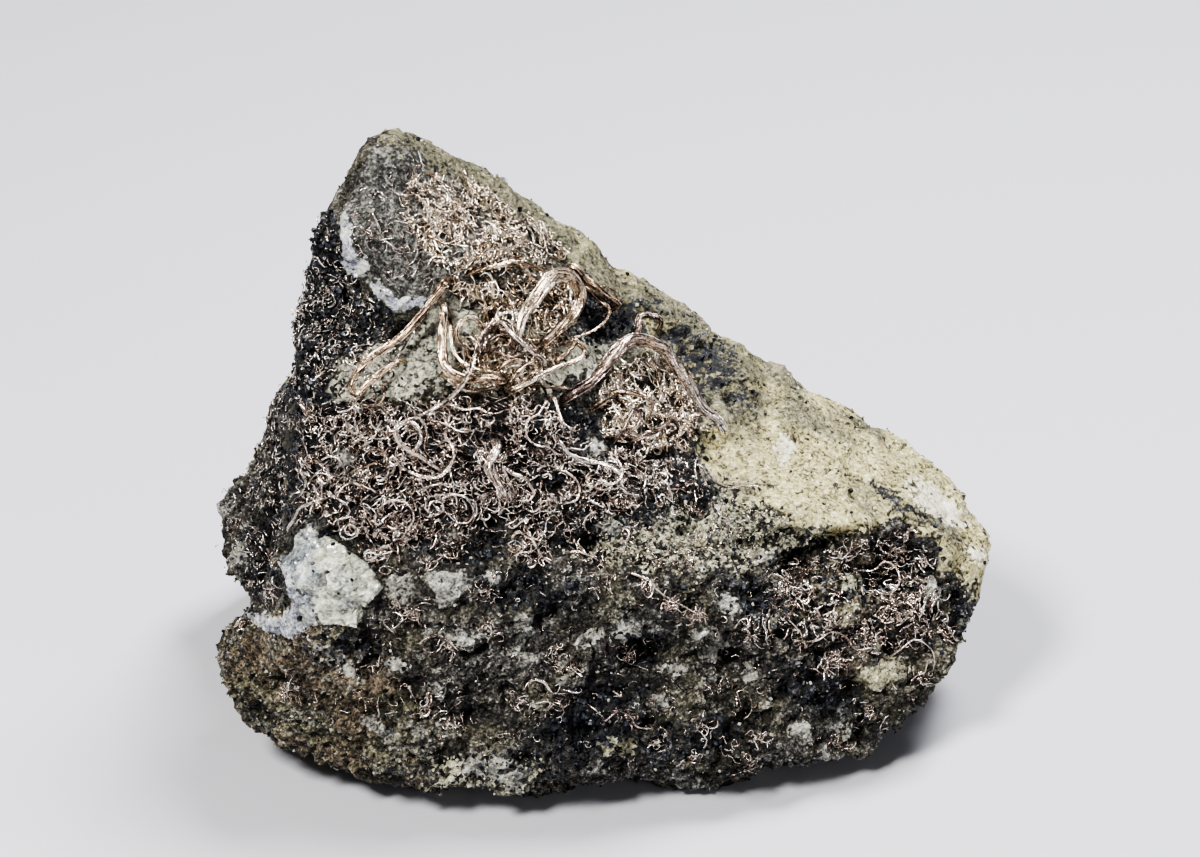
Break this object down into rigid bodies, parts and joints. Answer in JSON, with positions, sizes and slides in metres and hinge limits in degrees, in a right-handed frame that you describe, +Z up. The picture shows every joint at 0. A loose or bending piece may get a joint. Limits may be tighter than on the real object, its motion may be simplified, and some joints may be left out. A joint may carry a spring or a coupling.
{
  "type": "native silver specimen",
  "caption": "Mineral specimen: curled native silver wires and mats of fine wire grown on a broken block of veined rock, resting on a flat underside.",
  "frame": {"origin": "on the flat face that the block rests on, under the middle of the block", "axes": "+Z up from the resting face, +X along the block's longest side with the tall peak at -X, +Y into the block away from its wired face"},
  "size_m": [0.0718, 0.0468, 0.0548],
  "materials": {
    "veined_rock": "rough broken rock with quartz, carbonate and black silver sulphide",
    "silver_felt": "tarnished fine silver wire, pinkish grey",
    "silver_wire": "tarnished silver wire with ridges along it, golden to purplish brown"
  },
  "bodies": {
    "root": {"arch_wire": "silver_wire", "bow_stump": "silver_wire", "bow_wire": "silver_wire", "cradle_wire": "silver_wire", "curved_tail": "silver_wire", "flat_strap": "silver_wire", "golden_tail": "silver_wire", "grey_strand": "silver_wire", "hairpin_curl": "silver_wire", "hairpin_wire": "silver_wire", "hook_wire": "silver_wire", "mat_bow": "silver_felt", "mat_crown": "silver_felt", "mat_lower_right": "silver_felt", "mat_middle": "silver_felt", "mat_nest": "silver_felt", "matrix_rock": "veined_rock", "nest_strand": "silver_wire", "outer_loop": "silver_wire", "ring_loop": "silver_wire", "ring_wire": "silver_wire", "straight_bundle": "silver_wire", "white_strand": "silver_wire"}
  },
  "joints": []
}
